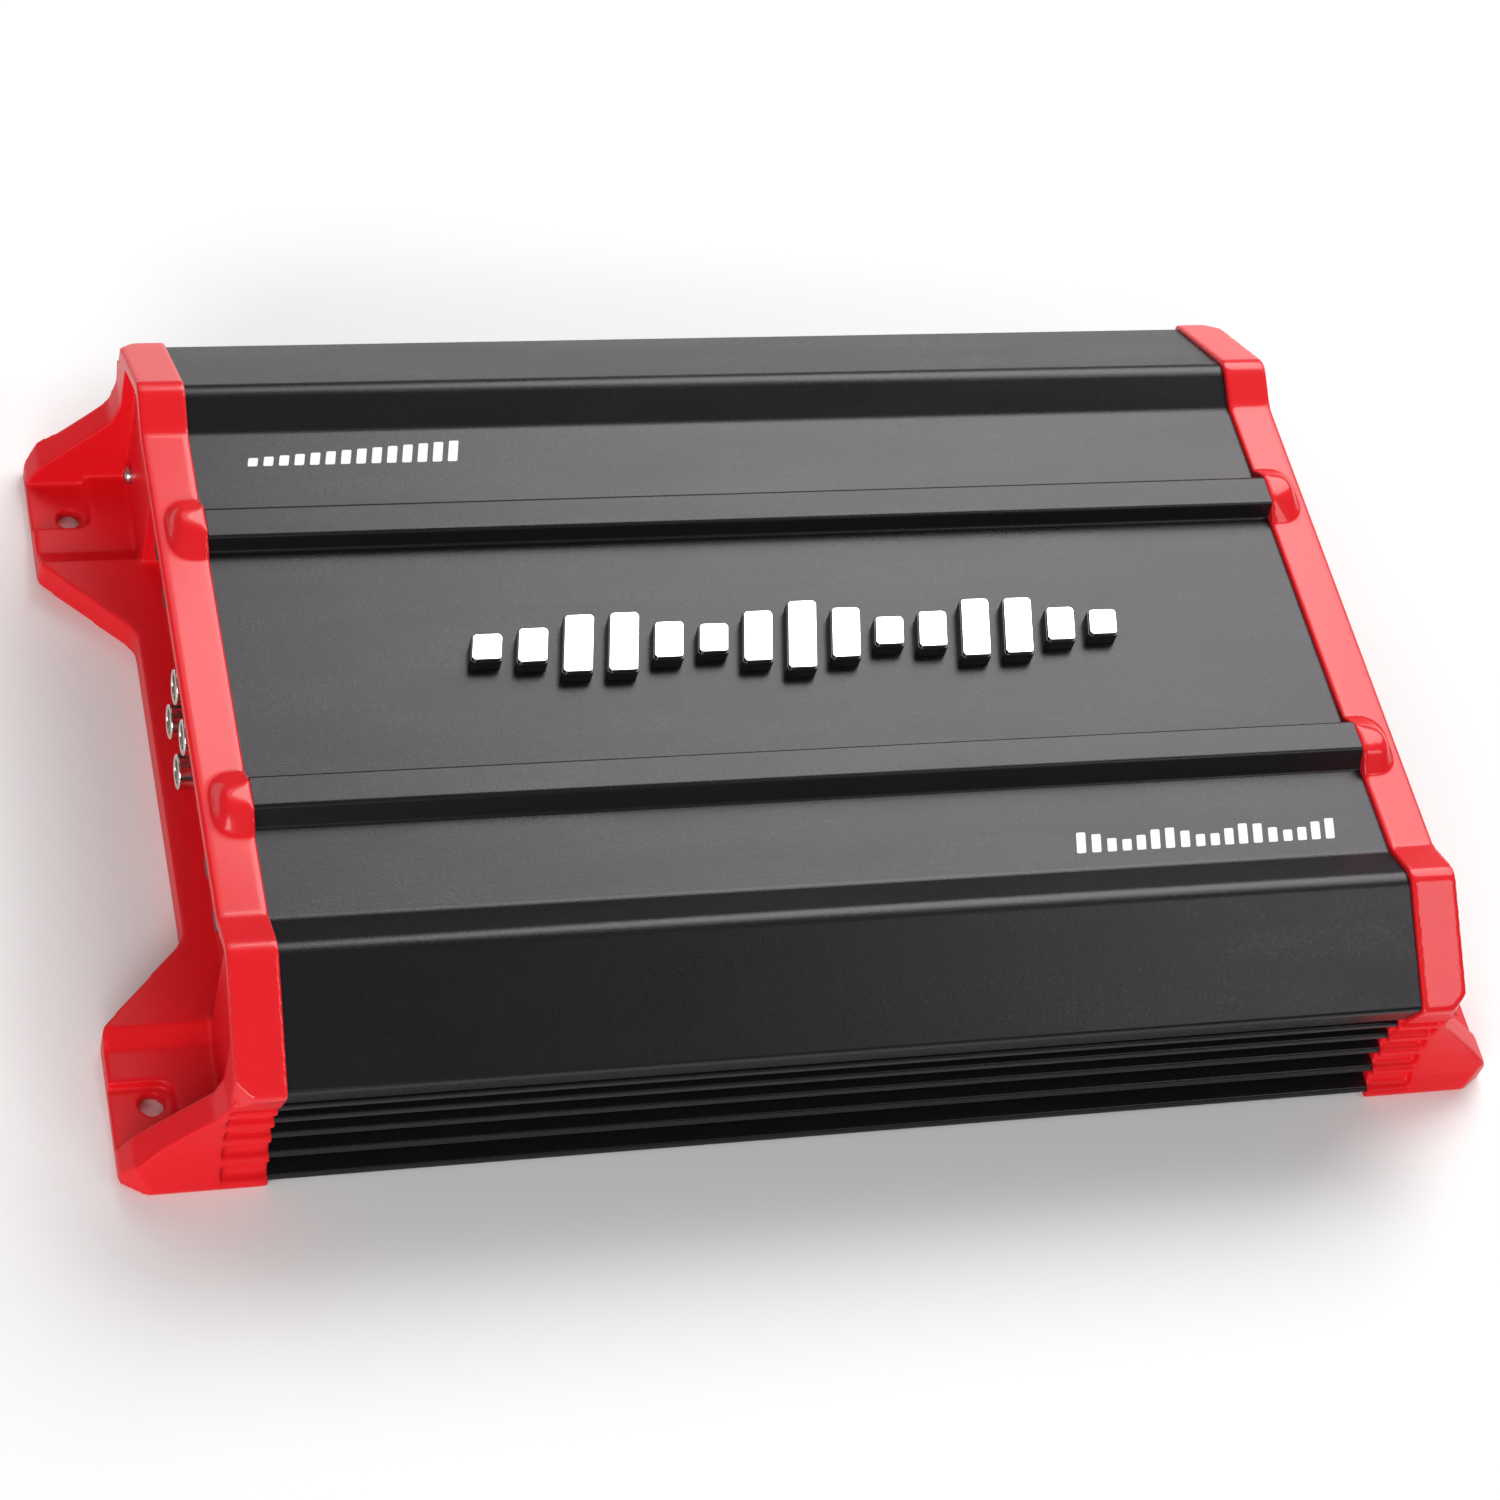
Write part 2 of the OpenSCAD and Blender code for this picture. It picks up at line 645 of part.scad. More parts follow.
// Pressed wire clamp with turned-up edges, one on each terminal
module wire_clamp(y, z, x, w, h, bore_r) {
    difference() {
        union() {
            block([x, y - w / 2, z - h / 2], [x + 0.9, y + w / 2, z + h / 2]);
            for (s = [-1, 1])
                block([x, y + s * (w / 2 - 0.4) - 0.4, z - h / 2],
                      [x + 2, y + s * (w / 2 - 0.4) + 0.4, z + h / 2]);
        }
        rod_x(x - 1, x + 3, y, z, bore_r);
    }
}

function power_at(i) = power_y + (i - 1) * power_pitch;
function speaker_at(i) = speaker_y + (i - (speaker_count - 1) / 2) * speaker_pitch;

module power_terminal_block() {
    color([0.07, 0.07, 0.07])
        barrier_strip(power_y, power_z, power_pitch, 3, 26, end_x + 3.4, end_x + 8, 1.6, 2.3);
}

module power_clamps() {
    color([0.8, 0.8, 0.78]) for (i = [0 : 2])
        wire_clamp(power_at(i), power_z + 3.64, end_x + 3.4, power_pitch - 3, 14, 2.3);
}

module power_screw(i) {
    color([0.8, 0.8, 0.78]) translate([end_x + 4.5, power_at(i), power_z + 3.64]) rotate([0, 90, 0])
        screw(4, 3, 2.1, 10);
}

module speaker_terminal_block() {
    color([0.07, 0.07, 0.07])
        barrier_strip(speaker_y, speaker_z, speaker_pitch, speaker_count, 18,
                      end_x + 3, end_x + 6.4, 1.2, 1.5);
}

module speaker_clamps() {
    color([0.8, 0.8, 0.78]) for (i = [0 : speaker_count - 1])
        wire_clamp(speaker_at(i), speaker_z + 2.52, end_x + 3, speaker_pitch - 1.6, 9, 1.5);
}

module speaker_screw(i) {
    color([0.8, 0.8, 0.78]) translate([end_x + 4.1, speaker_at(i), speaker_z + 2.52]) rotate([0, 90, 0])
        screw(1.6, 1.6, 1.3, 8);
}

module fuse_holder() {
    color([0.07, 0.07, 0.07]) difference() {
        block([end_x - 11, fuse_y[0] - 5, fuse_z - 12.5], [end_x + 2.4, fuse_y[1] + 5, fuse_z + 12.5]);
        for (y = fuse_y) {
            block([fuse_x - 0.3, y - fuse_t / 2 - 0.3, fuse_z - fuse_w / 2 - 0.3],
                  [end_x + 5, y + fuse_t / 2 + 0.3, fuse_z + fuse_w / 2 + 0.3]);
            for (s = [-1, 1])
                block([fuse_x - 7.5, y - 0.7, fuse_z + s * 5.9 - 3],
                      [fuse_x + 1, y + 0.7, fuse_z + s * 5.9 + 3]);
        }
    }
}

// A blade fuse: a stepped body with a finger grip, and two blades
module fuse(i) {
    color([0.85, 0.85, 0.8]) translate([fuse_x, fuse_y[i], fuse_z]) difference() {
        union() {
            block([0, -fuse_t / 2 + 0.5, -fuse_w / 2 + 0.6], [fuse_l, fuse_t / 2 - 0.5, fuse_w / 2 - 0.6]);
            block([0, -fuse_t / 2, -fuse_w / 2], [fuse_l - 8.6, fuse_t / 2, fuse_w / 2]);
            block([fuse_l - 3.2, -fuse_t / 2, -fuse_w / 2], [fuse_l, fuse_t / 2, fuse_w / 2]);
            for (s = [-1, 1]) block([-7, -0.33, s * 5.9 - 2.6], [0.1, 0.33, s * 5.9 + 2.6]);
        }
        block([fuse_l - 0.5, -fuse_t / 2 + 1, -fuse_w / 2 + 6],
              [fuse_l + 1, fuse_t / 2 - 1, fuse_w / 2 - 6]);
        for (s = [-1, 1]) rod_x(fuse_l - 3, fuse_l + 1, 0, s * 7, 0.9);
    }
}

// ---- emblem ---------------------------------------------------------------

// A sound wave of slanted bars, in place of a name
emblem_count = 15;
emblem_pitch = 10.6;
emblem_bar = 6.8;
emblem_lean = 12;
emblem_x = 2.5;

function bar_half(i) = 9.6 * (0.42 + 0.58 * pow(cos(i * 40), 2)) * (1 - 0.02 * abs(i));

module emblem_bars(grow, low, high) {
    last = (emblem_count - 1) / 2;
    for (i = [-last : last])
        let (half = bar_half(i) + grow, lean = tan(emblem_lean) * half, w = emblem_bar / 2 + grow)
        translate([emblem_x + i * emblem_pitch, 0, low]) linear_extrude(high - low)
            polygon(rounded([[-w - lean, -half, 1], [w - lean, -half, 1],
                             [w + lean, half, 1], [-w + lean, half, 1]]));
}

module emblem_base() {
    color([0.05, 0.05, 0.05]) emblem_bars(0.35, flat_z, flat_z + 2.8);
}

module emblem_face() {
    color([0.9, 0.9, 0.92]) emblem_bars(0, flat_z + 2.8, flat_z + 3.5);
}

// ---- nodes ----------------------------------------------------------------

heatsink();
left_end_cap();
right_end_cap();
input_panel();
output_panel();
bottom_plate();
main_board();
control_board();
transformer_core();
transformer_winding();
choke_core();
choke_winding();
filter_capacitors();
signal_capacitors();
power_transistors();
insulator_pads();
far_clamp_bar();
near_clamp_bar();
clamp_screws();
left_cap_screws();
right_cap_screws();
bottom_screws();
board_standoffs();
board_screws();
phono_housing();
phono_shells();
phono_insulators();
phono_contacts();
potentiometers();
knob(0);  // front_gain_knob
knob(1);  // front_crossover_knob
knob(2);  // bass_boost_knob
knob(3);  // rear_crossover_knob
knob(4);  // rear_gain_knob
switch_bodies();
switch_slider(0);  // front_crossover_switch
switch_slider(1);  // rear_crossover_switch
status_lights();
power_terminal_block();
power_clamps();
power_screw(0);  // power_screw_1
power_screw(1);  // power_screw_2
power_screw(2);  // power_screw_3
speaker_terminal_block();
speaker_clamps();
speaker_screw(0);  // speaker_screw_1
speaker_screw(1);  // speaker_screw_2
speaker_screw(2);  // speaker_screw_3
speaker_screw(3);  // speaker_screw_4
speaker_screw(4);  // speaker_screw_5
speaker_screw(5);  // speaker_screw_6
speaker_screw(6);  // speaker_screw_7
speaker_screw(7);  // speaker_screw_8
fuse_holder();
fuse(0);  // fuse_1
fuse(1);  // fuse_2
emblem_base();
emblem_face();
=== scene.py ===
"""Looks of the car amplifier: materials, soft edges, printed marks, camera and light."""
import json
import math

import bpy
from mathutils import Matrix, Vector


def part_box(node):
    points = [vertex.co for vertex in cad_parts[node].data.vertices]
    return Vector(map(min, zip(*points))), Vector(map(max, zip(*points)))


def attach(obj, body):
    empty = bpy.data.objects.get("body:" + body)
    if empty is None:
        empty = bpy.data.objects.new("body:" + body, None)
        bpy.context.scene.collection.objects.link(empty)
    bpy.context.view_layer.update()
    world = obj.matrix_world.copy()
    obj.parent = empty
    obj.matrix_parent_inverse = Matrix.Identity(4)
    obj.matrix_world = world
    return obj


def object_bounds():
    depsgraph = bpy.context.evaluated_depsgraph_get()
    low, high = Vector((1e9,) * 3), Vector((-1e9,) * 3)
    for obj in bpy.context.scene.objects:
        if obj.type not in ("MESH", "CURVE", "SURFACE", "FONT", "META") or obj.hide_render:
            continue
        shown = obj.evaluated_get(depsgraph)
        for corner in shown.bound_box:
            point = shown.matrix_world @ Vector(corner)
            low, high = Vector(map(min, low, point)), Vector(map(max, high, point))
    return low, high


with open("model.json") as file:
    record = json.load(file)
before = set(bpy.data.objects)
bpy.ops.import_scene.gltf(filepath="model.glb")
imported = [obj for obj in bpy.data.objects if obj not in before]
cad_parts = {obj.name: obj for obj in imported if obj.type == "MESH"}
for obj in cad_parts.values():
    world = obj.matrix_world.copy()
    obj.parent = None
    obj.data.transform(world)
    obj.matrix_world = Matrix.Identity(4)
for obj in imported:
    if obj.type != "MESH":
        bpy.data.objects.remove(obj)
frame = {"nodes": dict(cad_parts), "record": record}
cad_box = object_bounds()
scene = bpy.context.scene
NODES = frame["nodes"]
MM = 0.001

# Where the gloss of an end cap's strip runs out, along X and upwards
STRIP_END = 141 * MM
GLOSS_FADE = (-1.5 * MM, 0.5 * MM)
GLOSS_UP = (33 * MM, 38 * MM)
GLOSS_COAT = 0.5

# Circuit board: the noise level where bare board turns into track
TRACK_EDGE = (0.49, 0.51)

# Soft edges: bevels and shading of machined parts, remesh of the moulded caps
BEVEL_MM = 0.15
BEVEL_ANGLE = math.radians(34)
BEVEL_SEGMENTS = 2
FLAT_ANGLE = math.radians(0.4)
SMOOTH_ANGLE = math.radians(30)
WELD_MM = 0.002
CAP_VOXEL_MM = 0.5
CAP_PASSES = 6

# Printed marks, in mm: height of the ink, and the lean, corners and width of a bar
INK_MM = 0.04
LEAN = 0.22
CORNER_MM = 0.35
BAR_SHARE = 0.62
CORNER_STEPS = 4
DIAL_REACH_MM = 5.3
DIAL_TICKS = 11
DIAL_TURN = 300
SIGN_MM = 2.0
SIGN_LIFT_MM = 9.2

# The photograph's view: place, right and up of the camera, and its lens in mm
CAMERA_PLACE = (-0.26570, -0.50935, 0.72575)
CAMERA_RIGHT = (0.95621, -0.20765, 0.20625)
CAMERA_UP = (0.04774, 0.80594, 0.59007)
LENS_MM = 92.44
SENSOR_MM = 36.0

WORLD_STRENGTH = 0.15
FLOOR_REACH = 6.0

# Lights: direction from the part, distance, width and height in metres, power in watts
LIGHTS = {
    "key": ((0.48, 0.55, 0.70), 1.4, (1.15, 0.9), 17),
    "ceiling": ((0.05, 0.62, 0.78), 1.5, (1.5, 0.9), 6),
    "fill": ((-0.45, -0.78, 0.40), 1.5, (1.2, 0.6), 15),
    "side": ((0.50, -0.41, 0.76), 1.3, (0.32, 0.32), 1.6),
}


# ---- node-tree helpers ------------------------------------------------------

class Shader:
    """A material with its Principled shader, and short calls for the textures that feed it."""

    def __init__(self, name, color, rough=0.5, metallic=0.0, **sockets):
        self.material = bpy.data.materials.new(name)
        self.material.use_nodes = True
        self.tree = self.material.node_tree
        self.bsdf = self.tree.nodes["Principled BSDF"]
        self.set("Base Color", (*color, 1.0))
        self.set("Roughness", rough)
        self.set("Metallic", metallic)
        for socket, value in sockets.items():
            self.set(socket.replace("_", " "), value)
        self.coords = self.tree.nodes.new("ShaderNodeTexCoord").outputs["Object"]
        self.height = None

    def set(self, socket, value):
        self.bsdf.inputs[socket].default_value = value

    def node(self, kind, inputs=(), **settings):
        made = self.tree.nodes.new(kind)
        for key, value in settings.items():
            setattr(made, key, value)
        for key, value in dict(inputs).items():
            if isinstance(value, bpy.types.NodeSocket):
                self.tree.links.new(value, made.inputs[key])
            else:
                made.inputs[key].default_value = value
        return made

    def noise(self, grain_mm, stretch=(1, 1, 1), detail=3.0, rough=0.5):
        """A noise from 0 to 1 whose grain is about grain_mm, stretched along the axes."""
        scale = tuple(1.0 / (grain_mm * MM * s) for s in stretch)
        mapped = self.node("ShaderNodeMapping", {"Vector": self.coords, "Scale": scale})
        made = self.node("ShaderNodeTexNoise", {"Vector": mapped.outputs[0], "Scale": 1.0,
                                                "Detail": detail, "Roughness": rough})
        return made.outputs["Fac"]

    def ramp(self, value, low, high, start=0.0, end=1.0):
        """low where the value is at start or below, high at end or above, and even between."""
        made = self.node("ShaderNodeMapRange", {"Value": value, "From Min": start, "From Max": end,
                                                "To Min": low, "To Max": high})
        return made.outputs["Result"]

    def math(self, operation, a, b=0.0, c=0.0):
        return self.node("ShaderNodeMath", {0: a, 1: b, 2: c}, operation=operation).outputs[0]

    def axes(self):
        """X, Y and Z of the part's own frame, in metres."""
        return self.node("ShaderNodeSeparateXYZ", {0: self.coords}).outputs[:]

    def tint(self, factor, dark, light):
        """Base colour between dark and light by factor."""
        mix = self.node("ShaderNodeMix", {"Factor": factor, "A": (*dark, 1), "B": (*light, 1)},
                        data_type="RGBA")
        self.tree.links.new(mix.outputs["Result"], self.bsdf.inputs["Base Color"])

    def rough(self, factor, low, high):
        self.tree.links.new(self.ramp(factor, low, high), self.bsdf.inputs["Roughness"])

    def bump(self, height, depth_mm, strength=1.0):
        inputs = {"Height": height, "Distance": depth_mm * MM, "Strength": strength}
        if self.height is not None:
            inputs["Normal"] = self.height
        self.height = self.node("ShaderNodeBump", inputs).outputs["Normal"]
        self.tree.links.new(self.height, self.bsdf.inputs["Normal"])


# ---- materials --------------------------------------------------------------

def black_anodised():
    s = Shader("black_anodised", (0.010, 0.010, 0.011), rough=0.36, Specular_IOR_Level=0.36,
               Specular_Tint=(1.0, 0.96, 1.0, 1.0))
    grain = s.noise(0.45, detail=4, rough=0.7)
    mottle = s.noise(1.2, detail=3, rough=0.6)
    blotch = s.noise(9, stretch=(4, 1, 1), detail=2)
    drawn = s.noise(0.35, stretch=(50, 1, 1), detail=3)
    s.tint(grain, (0.0035, 0.0035, 0.004), (0.010, 0.0095, 0.0115))
    speckle = s.math("MULTIPLY_ADD", mottle, 0.5, s.math("MULTIPLY", grain, 0.5))
    s.rough(s.math("MULTIPLY_ADD", blotch, 0.3, s.math("MULTIPLY", speckle, 0.7)), 0.16, 0.43)
    s.bump(drawn, 0.02, 0.6)
    s.bump(mottle, 0.05, 0.3)
    s.bump(grain, 0.06, 0.5)
    return s.material


def red_plastic():
    """Gloss on the strip that frames the heatsink, a plain moulded finish on the flange and feet."""
    s = Shader("red_plastic", (0.82, 0.010, 0.016), rough=0.38, Specular_IOR_Level=0.2,
               Coat_Roughness=0.1)
    peel = s.noise(2.4, detail=2)
    fine = s.noise(0.35, detail=2)
    along, _, up = s.axes()
    reach = s.ramp(s.math("ABSOLUTE", along), 1, 0, *(STRIP_END + fade for fade in GLOSS_FADE))
    polished = s.math("MULTIPLY", reach, s.ramp(up, 0, 1, *GLOSS_UP))
    s.tint(peel, (0.73, 0.008, 0.014), (0.80, 0.010, 0.017))
    s.rough(fine, 0.34, 0.44)
    s.tree.links.new(s.math("MULTIPLY", polished, GLOSS_COAT), s.bsdf.inputs["Coat Weight"])
    s.bump(peel, 0.012, 0.35)
    return s.material


def black_sheet():
    s = Shader("black_sheet", (0.012, 0.012, 0.012), rough=0.55)
    powder = s.noise(0.5, detail=3)
    s.tint(powder, (0.009, 0.009, 0.009), (0.018, 0.018, 0.018))
    s.rough(powder, 0.45, 0.65)
    s.bump(powder, 0.04, 0.5)
    return s.material


def moulded(name, dark, light, rough=(0.35, 0.5), grain_mm=0.5):
    """Moulded plastic, rubber or a coated part: a fine, uneven surface in two close tones."""
    s = Shader(name, light, rough=rough[0])
    grain = s.noise(grain_mm, detail=3)
    s.tint(s.noise(grain_mm * 6, detail=2), dark, light)
    s.rough(grain, *rough)
    s.bump(grain, 0.02, 0.5)
    return s.material


def metal(name, dark, light, rough, grain_mm=0.4, stretch=(1, 1, 1)):
    """Plated or bare metal, with a lay along the stretched axis and a little tarnish."""
    s = Shader(name, light, rough=rough[0], metallic=1.0)
    lay = s.noise(grain_mm, stretch=stretch, detail=3)
    s.tint(s.noise(grain_mm * 8, detail=3), dark, light)
    s.rough(lay, *rough)
    s.bump(lay, 0.01, 0.4)
    return s.material


def circuit_board():
    s = Shader("circuit_board", (0.01, 0.09, 0.035), rough=0.3)
    tracks = s.noise(3.5, stretch=(3, 1, 1), detail=1)
    s.tint(s.ramp(tracks, 0, 1, *TRACK_EDGE), (0.006, 0.07, 0.028), (0.015, 0.13, 0.05))
    s.rough(s.noise(0.4), 0.22, 0.4)
    s.bump(s.ramp(tracks, 0, 1, *TRACK_EDGE), 0.03, 0.5)
    return s.material


def fuse_plastic():
    s = Shader("fuse_plastic", (0.85, 0.82, 0.74), rough=0.15, Transmission_Weight=0.55, IOR=1.5)
    s.tint(s.noise(4, detail=2), (0.80, 0.76, 0.66), (0.88, 0.86, 0.80))
    s.rough(s.noise(0.6), 0.12, 0.24)
    return s.material


def light_green():
    s = Shader("light_green", (0.1, 0.6, 0.2), rough=0.1, Transmission_Weight=0.4, IOR=1.45)
    s.tint(s.noise(1.2, detail=2), (0.08, 0.5, 0.16), (0.14, 0.68, 0.26))
    s.rough(s.noise(0.5), 0.06, 0.16)
    return s.material


MATERIALS = {make.__name__: make() for make in (
    black_anodised, red_plastic, black_sheet, circuit_board, fuse_plastic, light_green)}
MATERIALS |= {name: moulded(name, dark, light, **extra) for name, dark, light, extra in (
    ("ferrite", (0.02, 0.02, 0.022), (0.05, 0.05, 0.052), {"rough": (0.6, 0.8)}),
    ("choke_coating", (0.45, 0.40, 0.05), (0.62, 0.56, 0.08), {}),
    ("capacitor_sleeve", (0.006, 0.008, 0.03), (0.012, 0.014, 0.05), {"rough": (0.2, 0.3)}),
    ("transistor_plastic", (0.012, 0.012, 0.012), (0.03, 0.03, 0.03), {}),
    ("thermal_pad", (0.45, 0.45, 0.47), (0.6, 0.6, 0.62), {"rough": (0.7, 0.85)}),
    ("black_plastic", (0.010, 0.010, 0.010), (0.018, 0.018, 0.018), {"rough": (0.32, 0.48)}),
    ("knob_plastic", (0.010, 0.010, 0.011), (0.022, 0.022, 0.023), {"rough": (0.38, 0.52)}),
    ("pot_plastic", (0.01, 0.02, 0.16), (0.02, 0.035, 0.24), {}),
    ("white_plastic", (0.66, 0.66, 0.63), (0.8, 0.8, 0.77), {"rough": (0.25, 0.38)}),
    ("white_ink", (0.80, 0.80, 0.80), (0.90, 0.90, 0.90), {"rough": (0.4, 0.55), "grain_mm": 0.3}),
    ("emblem_black", (0.006, 0.006, 0.006), (0.012, 0.012, 0.012), {"rough": (0.12, 0.22)}),
)}
MATERIALS |= {name: metal(name, dark, light, rough, **extra) for name, dark, light, rough, extra in (
    ("emblem_chrome", (0.80, 0.81, 0.83), (0.90, 0.90, 0.92), (0.06, 0.14),
     {"grain_mm": 0.6, "stretch": (1, 20, 1)}),
    ("nickel", (0.62, 0.60, 0.56), (0.80, 0.78, 0.74), (0.08, 0.2), {}),
    ("copper_wire", (0.45, 0.15, 0.05), (0.62, 0.24, 0.08), (0.2, 0.35), {}),
    ("bar_aluminium", (0.5, 0.5, 0.52), (0.66, 0.66, 0.68), (0.3, 0.45), {"stretch": (30, 1, 1)}),
    ("zinc_screw", (0.52, 0.53, 0.55), (0.70, 0.70, 0.70), (0.2, 0.35), {}),
    ("black_screw", (0.02, 0.02, 0.022), (0.045, 0.045, 0.05), (0.3, 0.45), {}),
    ("brass_standoff", (0.55, 0.38, 0.13), (0.70, 0.52, 0.20), (0.15, 0.3), {}),
    ("switch_steel", (0.5, 0.5, 0.52), (0.68, 0.68, 0.70), (0.25, 0.4), {}),
)}


# ---- soft edges -------------------------------------------------------------

def smooth_by_angle(angle):
    """A geometry node group that shades smooth, apart from edges sharper than this angle."""
    tree = bpy.data.node_groups.new("smooth_by_angle", "GeometryNodeTree")
    tree.interface.new_socket("Geometry", in_out="INPUT", socket_type="NodeSocketGeometry")
    tree.interface.new_socket("Geometry", in_out="OUTPUT", socket_type="NodeSocketGeometry")
    start, faces, edges, bend, small, end = (tree.nodes.new(kind) for kind in (
        "NodeGroupInput", "GeometryNodeSetShadeSmooth", "GeometryNodeSetShadeSmooth",
        "GeometryNodeInputMeshEdgeAngle", "FunctionNodeCompare", "NodeGroupOutput"))
    edges.domain = "EDGE"
    small.operation = "LESS_EQUAL"
    small.inputs["B"].default_value = angle
    tree.links.new(start.outputs[0], faces.inputs["Geometry"])
    tree.links.new(faces.outputs[0], edges.inputs["Geometry"])
    tree.links.new(bend.outputs[0], small.inputs["A"])
    tree.links.new(small.outputs[0], edges.inputs["Shade Smooth"])
    tree.links.new(edges.outputs[0], end.inputs[0])
    return tree


SMOOTH = smooth_by_angle(SMOOTH_ANGLE)


def drop_stored_normals(obj):
    """The frame's own normals would fight with the bevels, so they are cleared."""
    normals = obj.data.attributes.get("custom_normal")
    if normals:
        obj.data.attributes.remove(normals)


def modifier(obj, name, kind, **settings):
    made = obj.modifiers.new(name, kind)
    for key, value in settings.items():
        setattr(made, key, value)


def polish(obj, bevel_mm):
    """Joins the facets of a CAD node, softens its edges and shades it smooth."""
    drop_stored_normals(obj)
    modifier(obj, "weld", "WELD", merge_threshold=WELD_MM * MM)
    modifier(obj, "flat", "DECIMATE", decimate_type="DISSOLVE", angle_limit=FLAT_ANGLE)
    if bevel_mm:
        modifier(obj, "bevel", "BEVEL", width=bevel_mm * MM, segments=BEVEL_SEGMENTS,
                 limit_method="ANGLE", angle_limit=BEVEL_ANGLE)
    modifier(obj, "shade", "NODES", node_group=SMOOTH)
    modifier(obj, "weigh", "WEIGHTED_NORMAL", keep_sharp=True)


def mould(obj):
    """Rounds every edge and inner corner of a moulded shell, by a fine remesh that is then smoothed."""
    drop_stored_normals(obj)
    modifier(obj, "mesh", "REMESH", mode="VOXEL", voxel_size=CAP_VOXEL_MM * MM, use_smooth_shade=True)
    modifier(obj, "ease", "SMOOTH", factor=0.5, iterations=CAP_PASSES)


# Bevels that differ from BEVEL_MM
BEVELS = {"heatsink": 0.12, "emblem_base": 0.3, "emblem_face": 0.25, "bottom_plate": 0.3,
          "input_panel": 0.2, "output_panel": 0.2, "fuse_holder": 0.3, "power_terminal_block": 0.3,
          "speaker_terminal_block": 0.2, "main_board": 0, "control_board": 0,
          "transformer_winding": 0.35, "choke_winding": 0.25}
CAPS = ("left_end_cap", "right_end_cap")

for part in frame["record"]["subparts"]:
    node = NODES[part["node"]]
    node.data.materials.clear()
    node.data.materials.append(MATERIALS[part["material_slot"]])
    if part["node"] in CAPS:
        mould(node)
    else:
        polish(node, BEVELS.get(part["node"], BEVEL_MM))


# ---- printed marks ----------------------------------------------------------

def slanted_bar(x, y, width, height, lean=LEAN, radius=CORNER_MM, steps=CORNER_STEPS):
    """Outline of a leaning bar with rounded corners, whose middle is at x, y. All in mm."""
    points = []
    for side, up in ((-1, -1), (1, -1), (1, 1), (-1, 1)):
        cx, cy = side * (width / 2 - radius), up * (height / 2 - radius)
        start = math.atan2(up, side) - math.pi / 4
        for i in range(steps + 1):
            turn = start + math.pi / 2 * i / steps
            px, py = cx + radius * math.cos(turn), cy + radius * math.sin(turn)
            points.append((x + px + lean * py, y + py))
    return points


def turned(outline, degrees, cx, cy):
    """The outline turned clockwise about cx, cy."""
    c, s = math.cos(math.radians(-degrees)), math.sin(math.radians(-degrees))
    return [(cx + (x - cx) * c - (y - cy) * s, cy + (x - cx) * s + (y - cy) * c) for x, y in outline]


def printed(name, outlines, place):
    """A film of ink: each outline (mm) becomes a thin raised shape that place() puts on a surface."""
    verts, faces = [], []
    for outline in outlines:
        n, first = len(outline), len(verts)
        verts += [place(u * MM, v * MM, INK_MM * MM) for u, v in outline]
        verts += [place(u * MM, v * MM, -INK_MM * MM) for u, v in outline]
        faces.append(tuple(range(first, first + n)))
        for i in range(n):
            after = (i + 1) % n
            faces.append((first + i, first + n + i, first + n + after, first + after))
    mesh = bpy.data.meshes.new(name)
    mesh.from_pydata(verts, [], faces)
    mesh.materials.append(MATERIALS["white_ink"])
    film = bpy.data.objects.new(name, mesh)
    scene.collection.objects.link(film)
    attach(film, "chassis")


def middle(node):
    """Middle of a CAD node's box, in mm."""
    low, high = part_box(node)
    return [(a + b) / 2 / MM for a, b in zip(low, high)]


def level_bars(x, y, length, height, count, level):
    """A row of leaning bars from x on, standing on y, each as tall as level(0..1) says."""
    pitch = length / count
    bars = []
    for i in range(count):
        tall = height * level(i / (count - 1))
        bars.append(slanted_bar(x + (i + 0.5) * pitch, y + tall / 2, pitch * BAR_SHARE, tall))
    return bars


def dial(node):
    """Tick marks round a knob, over its whole turn, with longer ones at the ends and in the middle."""
    y, z = middle(node)[1:]
    step = DIAL_TURN // (DIAL_TICKS - 1)
    marks = []
    for i in range(DIAL_TICKS):
        size = 1.3 if i in (0, DIAL_TICKS // 2, DIAL_TICKS - 1) else 0.8
        mark = slanted_bar(y, z + DIAL_REACH_MM + size / 2, 0.42, size, lean=0, radius=0.1, steps=2)
        marks.append(turned(mark, step * i - DIAL_TURN // 2, y, z))
    return marks


def sign(y, z, plus):
    """A minus sign, with a second bar across it for a plus."""
    sizes = [(SIGN_MM, 0.5)] + ([(0.5, SIGN_MM)] if plus else [])
    return [slanted_bar(y, z, width, height, lean=0, radius=0.12, steps=2) for width, height in sizes]


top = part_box("emblem_base")[0][2]
input_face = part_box("input_panel")[0][0]
output_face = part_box("output_panel")[1][0]

printed("model_marks", level_bars(-118, 57.2, 51, 6.2, 14, lambda t: 0.4 + 0.6 * t),
        lambda u, v, h: (u, v, top + h))
printed("power_marks",
        level_bars(54, -62.6, 65, 5.6, 18, lambda t: 0.55 + 0.45 * math.cos(3 * math.pi * t) ** 2),
        lambda u, v, h: (u, v, top + h))
printed("dial_marks", [mark for knob in NODES if knob.endswith("_knob") for mark in dial(knob)],
        lambda u, v, h: (input_face - h, u, v))

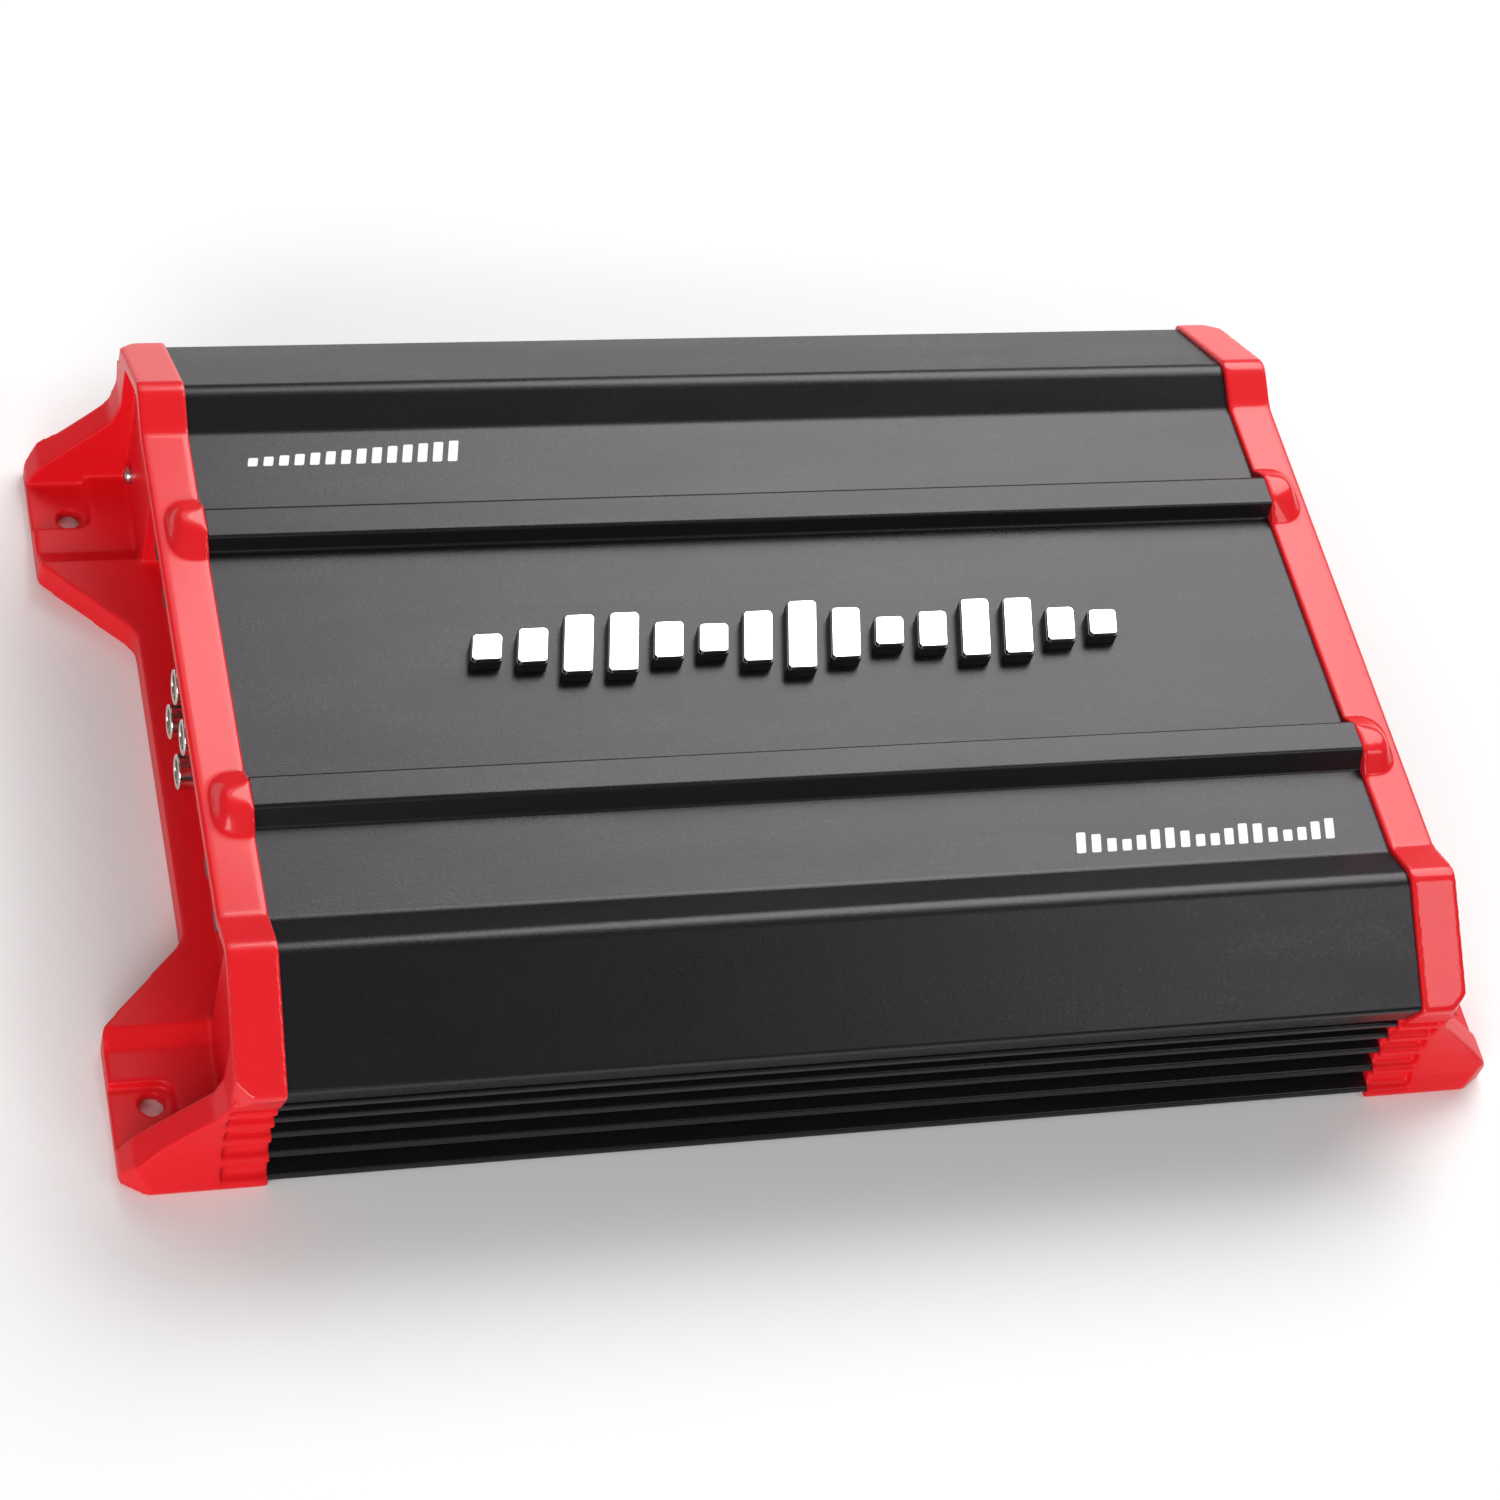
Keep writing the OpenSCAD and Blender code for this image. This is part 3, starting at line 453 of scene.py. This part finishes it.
terminal_marks = []
for i in range(8):
    y, z = middle(f"speaker_screw_{i + 1}")[1:]
    terminal_marks += sign(y, z + SIGN_LIFT_MM, plus=i % 2 == 0)
printed("terminal_marks", terminal_marks, lambda u, v, h: (output_face + h, u, v))


# ---- stage ------------------------------------------------------------------

def add_camera():
    """The photograph's view: a long lens from the left, above and in front."""
    lens = bpy.data.cameras.new("camera")
    lens.lens = LENS_MM
    lens.sensor_width = SENSOR_MM
    lens.clip_start, lens.clip_end = 0.01, 50.0
    camera = bpy.data.objects.new("camera", lens)
    scene.collection.objects.link(camera)
    right = Vector(CAMERA_RIGHT)
    back = right.cross(Vector(CAMERA_UP)).normalized()
    up = back.cross(right).normalized()
    turn = Matrix((right.normalized(), up, back)).transposed().to_4x4()
    camera.matrix_world = Matrix.Translation(CAMERA_PLACE) @ turn
    scene.camera = camera


def add_world():
    world = bpy.data.worlds.new("studio")
    world.use_nodes = True
    sky = world.node_tree.nodes["Background"].inputs
    sky["Color"].default_value = (1.0, 1.0, 1.0, 1)
    sky["Strength"].default_value = WORLD_STRENGTH
    scene.world = world


def studio_floor():
    """A plain pale floor."""
    corners = [(x * FLOOR_REACH, y * FLOOR_REACH, 0) for x, y in ((-1, -1), (1, -1), (1, 1), (-1, 1))]
    mesh = bpy.data.meshes.new("floor")
    mesh.from_pydata(corners, [], [(0, 1, 2, 3)])
    floor = bpy.data.objects.new("floor", mesh)
    scene.collection.objects.link(floor)
    paint = Shader("floor_paint", (0.93, 0.93, 0.93), rough=0.9, Specular_IOR_Level=0.1)
    mesh.materials.append(paint.material)


def soft_box(name, towards, distance, size, power):
    """A rectangular area light that looks at the middle of the part from the direction given."""
    lamp = bpy.data.lights.new(name, "AREA")
    lamp.shape = "RECTANGLE"
    lamp.size, lamp.size_y = size
    lamp.energy = power
    light = bpy.data.objects.new(name, lamp)
    scene.collection.objects.link(light)
    away = Vector(towards).normalized()
    light.location = (cad_box[0] + cad_box[1]) / 2 + away * distance
    light.rotation_mode = "QUATERNION"
    light.rotation_quaternion = away.to_track_quat("Z", "Y")


add_camera()
add_world()
studio_floor()
for light_name, light_row in LIGHTS.items():
    soft_box(light_name, *light_row)
scene.view_settings.view_transform = "Standard"
